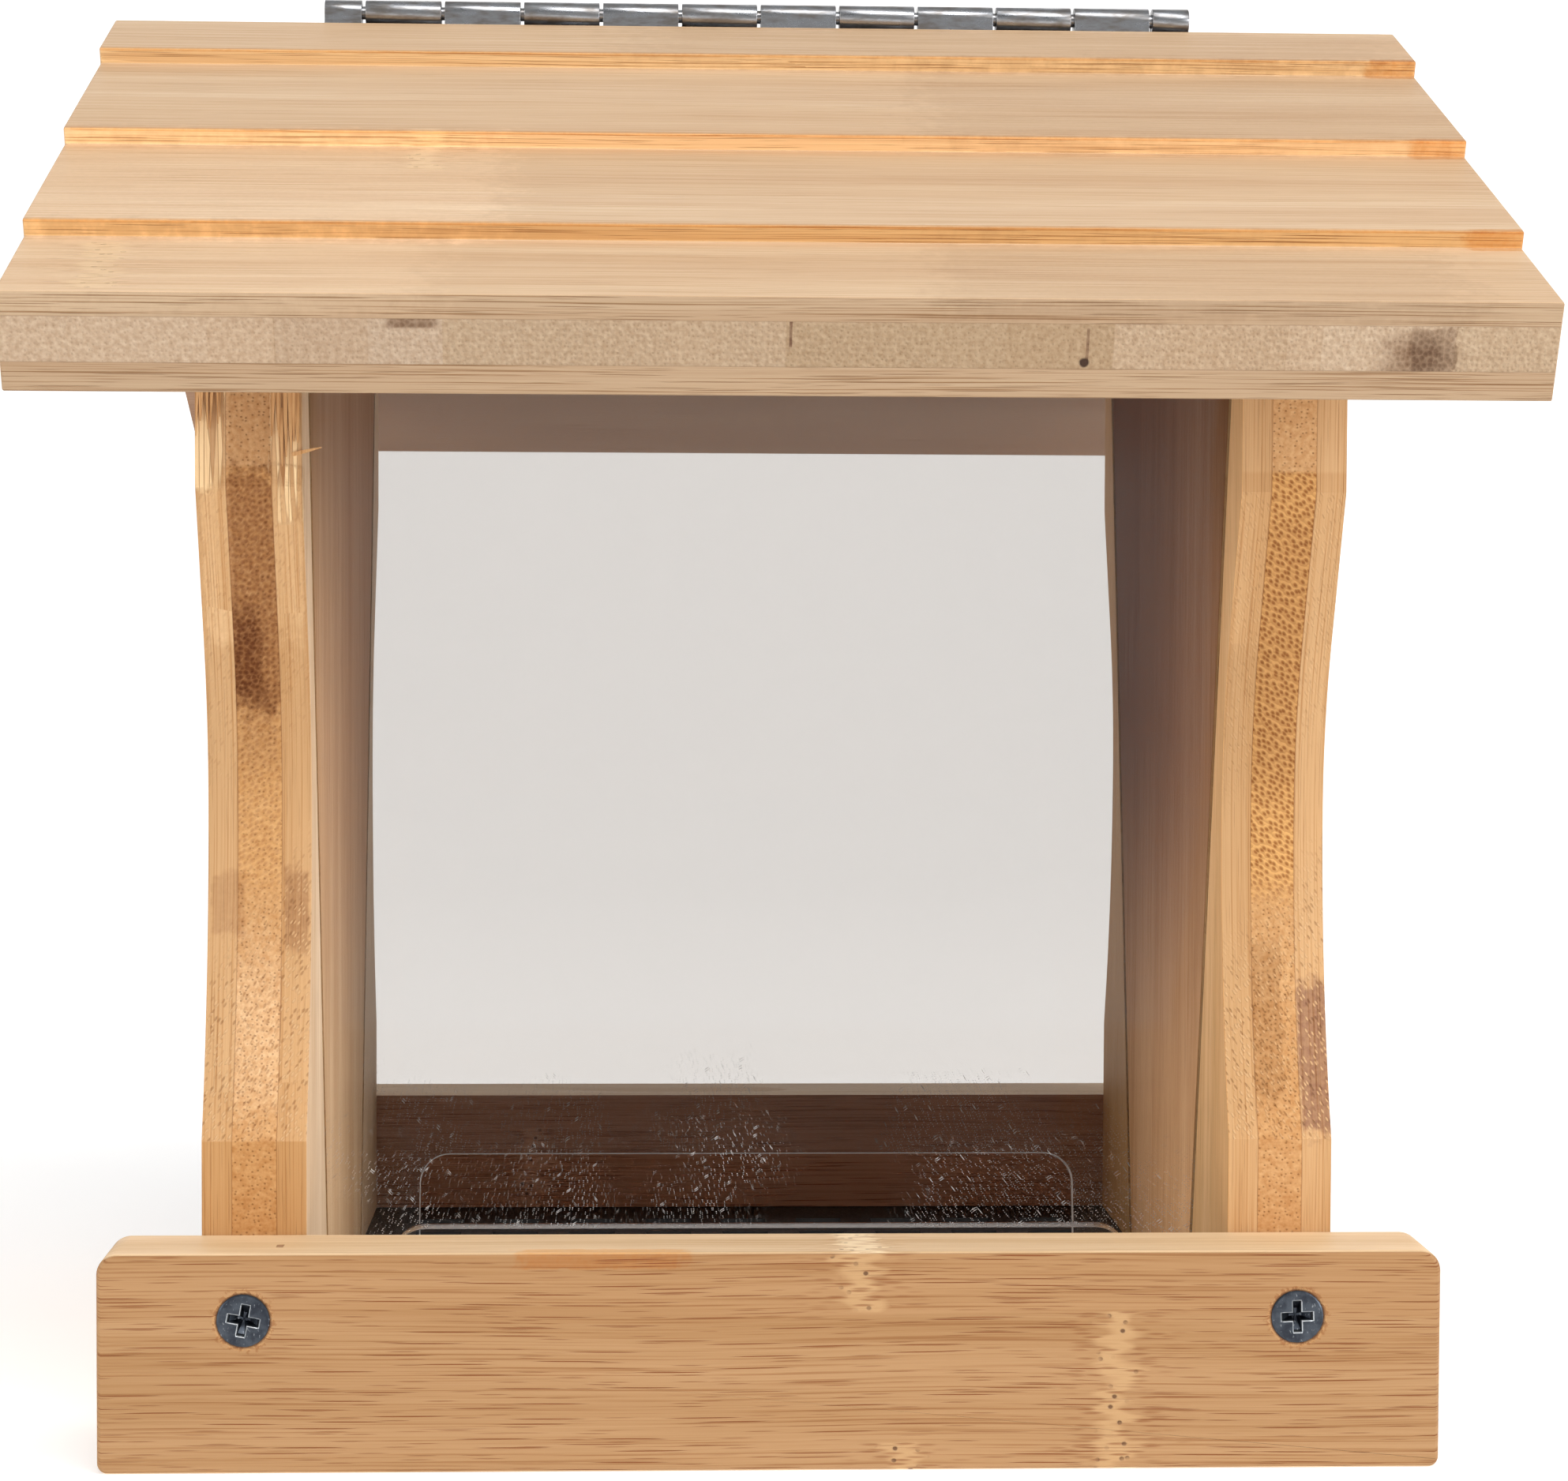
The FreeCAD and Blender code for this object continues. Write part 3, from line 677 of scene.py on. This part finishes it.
# Blue-grey zinc of the screws, brighter in nicks, and on the edges of the recess, where a driver has rubbed it
# and where a painted glint stands for the light they catch
def zinc():
    g = Nodes(bpy.data.materials.new("screw_zinc"))
    at = g.place()
    cloud = g.noise(at, 0.5, 3.0, 0.6)
    nick = g.step(g.noise(g.scaled(at, 3.0, 0.9, 1.4), 1.0, 3.0), 0.62, 0.72)
    rub_and_glint = g.put("Attribute", {}, "Fac", attribute_name="rub_and_glint")
    bright = g.most(rub_and_glint, g.times(nick, 0.4))
    colour = g.mix(g.step(cloud, 0.3, 0.7), srgb(84, 90, 98), srgb(58, 62, 70))
    g.shade(Base_Color=g.mix(bright, colour, srgb(200, 205, 208)))
    g.shade(Roughness=g.step(cloud, 0.2, 0.8, 0.28, 0.46), Metallic=1.0)
    g.shade(Normal=g.bump(cloud, 0.04 * MM, 0.5))
    return g.material


# Black coated sheet of the floor, with dust in its grain
def black_coat():
    g = Nodes(bpy.data.materials.new("black_coat"))
    at = g.place()
    pebble = g.noise(at, 2.2, 3.0, 0.6)
    dusty = g.step(g.noise(at, 0.12, 3.0, 0.6), 0.5, 0.75)
    g.shade(Base_Color=g.mix(g.times(dusty, 0.3), srgb(24, 24, 26), srgb(66, 62, 58)))
    g.shade(Roughness=g.step(pebble, 0.2, 0.8, 0.36, 0.6), Normal=g.bump(pebble, 0.08 * MM, 0.6))
    return g.material


coat(acrylic(), "front_window", "rear_window")
coat(plated_steel(), "lid_hinge_leaf", "fixed_hinge_leaf", "hinge_pin")
coat(black_coat(), "floor_screen")
screw_metal = zinc()

# The windows let light through to the inside as clear sheets do
for name in ("front_window", "rear_window"):
    nodes[name].visible_shadow = False


# Eased arrises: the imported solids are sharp, so their edges are welded, cleared of cut lines and rounded
def ease(width, segments, *names):
    for name in names:
        weld = nodes[name].modifiers.new("weld", "WELD")
        weld.merge_threshold = 0.002 * MM
        clear = nodes[name].modifiers.new("clear", "DECIMATE")
        clear.decimate_type = "DISSOLVE"
        clear.angle_limit = math.radians(0.5)
        bevel = nodes[name].modifiers.new("ease", "BEVEL")
        bevel.width = width * MM
        bevel.segments = segments
        bevel.limit_method = "ANGLE"
        bevel.angle_limit = math.radians(32)
        bevel.harden_normals = True


ease(0.9, 3, "front_tray_board", "rear_tray_board")
ease(0.45, 2, "left_side_panel", "right_side_panel")
ease(0.3, 2, "front_roof_panel", "rear_roof_panel")
ease(0.2, 2, "front_window", "rear_window")
ease(0.14, 2, "lid_hinge_leaf", "fixed_hinge_leaf")


def mesh_of(shape, name):
    """A mesh from a shape that is done with."""
    bmesh.ops.recalc_face_normals(shape, faces=shape.faces)
    mesh = bpy.data.meshes.new(name)
    shape.to_mesh(mesh)
    shape.free()
    return mesh


def show(name, mesh, body, material):
    """A piece of the feeder made from a mesh in the frame."""
    mesh.materials.append(material)
    made = bpy.data.objects.new(name, mesh)
    bpy.context.scene.collection.objects.link(made)
    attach(made, body)
    return made


# Countersunk screws with a cross recess and a rolled thread
def islands(node):
    """The points of each separate solid of a node."""
    made = bmesh.new()
    made.from_mesh(node.data)
    bmesh.ops.remove_doubles(made, verts=made.verts, dist=0.002 * MM)
    seen = set()
    groups = []
    for start in made.verts:
        if start in seen:
            continue
        seen.add(start)
        group = [start]
        for vert in group:
            for edge in vert.link_edges:
                other = edge.other_vert(vert)
                if other not in seen:
                    seen.add(other)
                    group.append(other)
        groups.append([vert.co.copy() for vert in group])
    made.free()
    return groups


def head_place(points, out):
    """The middle of the flat of a screw's head."""
    top = max(p.dot(out) for p in points)
    flat = [p for p in points if top - p.dot(out) < 0.02 * MM]
    return sum(flat, Vector()) / len(flat)


# The recess's arms, their length and half their width, as shares of the head's radius. The head's rounded rim as
# (share of that radius, drop in millimetres), and the rings in one turn of the thread.
arm_share, slot_share = 0.6, 0.16
head_rim = ((0.8, 0.0), (0.93, 0.02), (0.985, 0.1), (1.0, 0.25), (0.97, 0.45))
thread_steps = 6


def cross_reach(angle, arm, half_width):
    """How far a four-armed recess reaches at an angle."""
    turn = (angle + math.pi / 4) % (math.pi / 2) - math.pi / 4
    return min(arm / math.cos(turn), half_width / max(abs(math.sin(turn)), 0.001))


def recess_angles():
    """Angles round a screw, closer together at the corners of its recess."""
    corner = math.atan2(slot_share, arm_share)
    eighth = [0.0, corner * 0.97, corner * 1.03, 0.35, 0.55, math.pi / 4]
    quarter = sorted({-a for a in eighth[1:-1]} | set(eighth))
    return [a + n * math.pi / 2 for n in range(4) for a in quarter]


def screw_rings(head, shank, length, angles):
    """(radii round the axis, height, rub) of a screw from the floor of its recess to its tip, in millimetres."""
    arm, half_width, recess = head * arm_share, head * slot_share, head * 0.5
    cross, lip, face = ([cross_reach(angle, arm + more, half_width + more) for angle in angles]
                        for more in (0.0, 0.1, 0.15))
    rings = [([r * 0.4 for r in cross], -recess, 0), ([r * 0.88 for r in cross], -recess * 0.45, 0)]
    # The recess's edges are brighter: rubbed by a driver, and a painted glint
    rings += [(cross, -0.12, 1), (lip, -0.01, 1), (face, 0.0, 0)]
    for share, drop in head_rim:
        rings.append(([head * share] * len(angles), -drop, 0))

    # The cone runs down to the plain shank, and the thread from there to the tip
    pitch = shank * 0.8
    plain = length * 0.35
    for down in (head - shank + 0.35, plain):
        rings.append(([shank * 0.8] * len(angles), -down, 0))
    for n in range(1, int((length - plain) / pitch * thread_steps)):
        down = plain + n * pitch / thread_steps
        taper = min(1.0, (length - down) / (shank * 2.4))
        turned = [(down / pitch - angle / math.tau) % 1.0 for angle in angles]
        crests = [max(0.0, 1 - abs(t - 0.5) * 4) for t in turned]
        rings.append(([shank * taper * (0.72 + 0.26 * crest) for crest in crests], -down, 0))
    return rings


def screws(name, out, size, body):
    """Turned screws in the places of a node's solids."""
    angles = recess_angles()
    rings = screw_rings(*size, angles)
    tip = -size[-1]
    count = len(angles)
    shape = bmesh.new()
    rub_and_glint = shape.verts.layers.float.new("rub_and_glint")
    for points in islands(nodes[name]):
        turn = Matrix.Rotation(math.radians(chance.uniform(-30, 30)), 4, "Z")
        lean = out.to_track_quat("Z", "Y").to_matrix().to_4x4()
        place = Matrix.Translation(head_place(points, out)) @ lean @ turn @ Matrix.Scale(MM, 4)
        loops = []
        for radii, height, rub in rings:
            spots = [Vector((r * math.cos(a), r * math.sin(a), height)) for r, a in zip(radii, angles)]
            loops.append([shape.verts.new(place @ spot) for spot in spots])
            for vert in loops[-1]:
                vert[rub_and_glint] = rub
        ends = [shape.verts.new(place @ Vector((0, 0, z))) for z in (rings[0][1] - 0.15, tip)]
        for n in range(count):
            after = (n + 1) % count
            shape.faces.new((ends[0], loops[0][n], loops[0][after]))
            shape.faces.new((ends[1], loops[-1][after], loops[-1][n]))
            for upper, lower in zip(loops, loops[1:]):
                shape.faces.new((upper[n], lower[n], lower[after], upper[after]))
    made = show(name + "_turned", mesh_of(shape, name + "_turned"), body, screw_metal)
    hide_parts(name)


tread_out = Vector((0, math.sin(tread_slope), math.cos(tread_slope)))
for end in ("left", "right"):
    screws("front_tray_screw_" + end, -Y, wood_screw, "housing")
    screws("rear_tray_screw_" + end, Y, wood_screw, "housing")
    screws(end + "_roof_screws", tread_out, wood_screw, "housing")
screws("lid_hinge_screws", Y, leaf_screw, "lid")
screws("fixed_hinge_screws", -Y, leaf_screw, "housing")


# Torn fibres that hang off the front edge of the left panel, and one splinter that sticks out across it
def sliver(shape, root, tip, width, thick):
    """A tapering prism from root to tip, bowed a little forward, in millimetres."""
    middle = (root + tip) / 2 - Y * thick * 0.4
    over = (tip - root).cross(Y).normalized()
    loops = []
    for spot, share in ((root, 1.0), (middle, 0.85), (tip, 0.25)):
        wide, deep = over * width / 2 * share, Y * thick / 2 * share
        corners = (wide + deep, wide - deep, -wide - deep, deep - wide)
        loops.append([shape.verts.new((spot + corner) * MM) for corner in corners])
    shape.faces.new(loops[0])
    shape.faces.new(loops[-1])
    for upper, lower in zip(loops, loops[1:]):
        for n in range(4):
            shape.faces.new((upper[n], upper[(n + 1) % 4], lower[(n + 1) % 4], lower[n]))


def slivers():
    inner = -side_inner / MM
    root_y = left_front + 0.1
    shape = bmesh.new()
    inner_bunch = (inner - 4.2, inner - 0.5, 140.6, 9)
    outer_bunch = (inner - 14.6, inner - 11.2, 143.0, 7)
    for first, last, low, count in (inner_bunch, outer_bunch):
        for n in range(count):
            x = first + (last - first) * (n + chance.uniform(0.2, 0.8)) / count
            end = low + chance.uniform(0.0, 5.5)
            root = Vector((x, root_y, end + chance.uniform(7.0, 13.0)))
            tip = Vector((x + chance.uniform(-0.4, 0.4), left_front - chance.uniform(0.1, 0.6), end))
            sliver(shape, root, tip, chance.uniform(0.35, 0.8), chance.uniform(0.3, 0.55))
    splinter_root = Vector((inner - 1.4, root_y, 142.6))
    splinter_tip = Vector((inner + 2.8, left_front - 0.6, 143.6))
    sliver(shape, splinter_root, splinter_tip, 0.55, 0.35)
    wood = bamboo("bamboo_slivers", left_lay, sliver_look, 0.1)
    show("torn_slivers", mesh_of(shape, "torn_slivers"), "housing", wood)


slivers()


# Stage: a pale sweep that runs from the floor up behind the feeder and glows, a painted pool of light brightest
# behind the feeder and round its middle
def sweep():
    front, depth, rise, radius, width, steps = -4.0, 1.6, 2.4, 0.5, 6.0, 16
    profile = [(front, 0.0), (depth - radius, 0.0)]
    for n in range(1, steps + 1):
        turn = math.pi / 2 * n / steps
        profile.append((depth - radius + radius * math.sin(turn), radius - radius * math.cos(turn)))
    profile.append((depth, rise))
    mesh = bpy.data.meshes.new("sweep")
    points = [(side * width / 2, y, z) for y, z in profile for side in (-1, 1)]
    faces = [(2 * n, 2 * n + 1, 2 * n + 3, 2 * n + 2) for n in range(len(profile) - 1)]
    mesh.from_pydata(points, [], faces)
    for face in mesh.polygons:
        face.use_smooth = True
    made = bpy.data.objects.new("sweep", mesh)
    bpy.context.scene.collection.objects.link(made)
    mesh.materials.append(glowing_paper())


def glowing_paper():
    g = Nodes(bpy.data.materials.new("glowing_paper"))
    spot = g.put("TexCoord", {}, "Object")
    g.shade(Base_Color=g.mix(g.noise(spot, 60.0, 2.0), srgb(226, 225, 224), srgb(222, 221, 220)))
    # The glow is a painted pool of light, brighter towards the back and fading to the sides
    behind = g.step(g.dot(spot, Y), -0.1, 0.8, 0.64, 1.0)
    glow = g.times(behind, g.band(g.dot(spot, X), 0.0, 0.55, 0.6))
    g.shade(Roughness=0.9, Emission_Color=(1, 1, 1, 1), Emission_Strength=g.step(glow, 0.0, 1.0, 0.06, 0.58))
    return g.material


def softbox(name, place, aim, width, height, power):
    light = bpy.data.lights.new(name, "AREA")
    light.shape = "RECTANGLE"
    light.size = width
    light.size_y = height
    light.energy = power
    made = bpy.data.objects.new(name, light)
    made.location = place
    made.rotation_mode = "QUATERNION"
    made.rotation_quaternion = (Vector(aim) - Vector(place)).to_track_quat("-Z", "Y")
    made.visible_camera = False
    bpy.context.scene.collection.objects.link(made)


def room():
    world = bpy.data.worlds.new("studio")
    g = Nodes(world, "Background")
    up = g.dot(g.put("TexCoord", {}, "Generated"), Z)
    g.shade(Color=(0.97, 0.985, 1.0, 1.0), Strength=g.step(up, 0.35, 0.9, 0.12, 0.45))
    bpy.context.scene.world = world
    bpy.context.scene.view_settings.view_transform = "Standard"


# Camera, fitted to edges and corners measured in the photograph. The picture's width and the focal length are
# in its pixels.
def camera():
    picture_width = 1986
    focal = 4510.05
    sensor = 36.0
    place = Vector((-19.57, -579.97, 125.19)) * MM
    yaw, pitch, roll = (math.radians(v) for v in (2.389, 2.572, 0.263))
    lens = bpy.data.cameras.new("camera")
    lens.sensor_fit = "HORIZONTAL"
    lens.sensor_width = sensor
    lens.lens = focal * sensor / picture_width
    lens.clip_start = 0.01
    made = bpy.data.objects.new("camera", lens)
    turn = Matrix.Rotation(-yaw, 4, "Z") @ Matrix.Rotation(math.pi / 2 - pitch, 4, "X")
    made.matrix_world = Matrix.Translation(place) @ turn @ Matrix.Rotation(roll, 4, "Z")
    bpy.context.scene.collection.objects.link(made)
    bpy.context.scene.camera = made


sweep()
room()
softbox("top", (0.14, -0.72, 1.12), (0, -0.03, 0.1), 0.8, 0.45, 7.9)
softbox("right", (0.95, -0.62, 0.42), (0, -0.05, 0.1), 0.5, 0.6, 9.4)
softbox("left", (-0.95, -0.62, 0.38), (0, -0.05, 0.1), 0.5, 0.6, 5.6)
softbox("front", (0.0, -1.6, 0.47), (0, 0, 0.2), 1.2, 0.4, 0.7)
camera()
